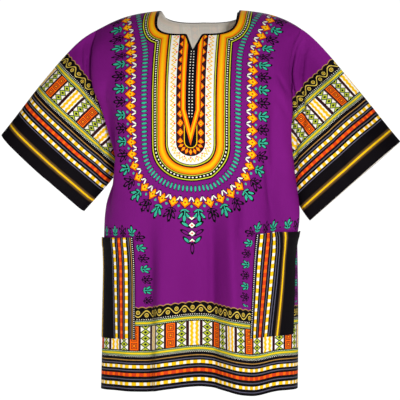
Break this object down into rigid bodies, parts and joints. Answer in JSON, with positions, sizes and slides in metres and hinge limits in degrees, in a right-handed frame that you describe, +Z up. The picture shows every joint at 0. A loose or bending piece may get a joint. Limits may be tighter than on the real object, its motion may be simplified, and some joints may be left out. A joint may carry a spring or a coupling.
{
  "type": "dashiki shirt",
  "caption": "Hip-length pullover cotton shirt, worn shape and hollow, with a round slit neck, wide elbow-length sleeves, patch pockets and bands of print.",
  "frame": {"origin": "middle of the neck opening, at the height of the inner ends of the shoulder seams, where the wearer's shoulders carry it", "axes": "+Z up; the front faces -Y; +X runs across the shoulders, to the right seen from the front"},
  "size_m": [0.801, 0.258, 0.7595],
  "materials": {
    "body_print": "plain-woven cotton, purple ground with a printed border",
    "sleeve_print": "plain-woven cotton, printed in bands over black",
    "pocket_print": "plain-woven cotton, printed stripes over black"
  },
  "bodies": {
    "root": {"front_panel": "body_print", "back_panel": "body_print", "left_sleeve": "sleeve_print", "right_sleeve": "sleeve_print", "left_pocket": "pocket_print", "right_pocket": "pocket_print"}
  },
  "joints": []
}
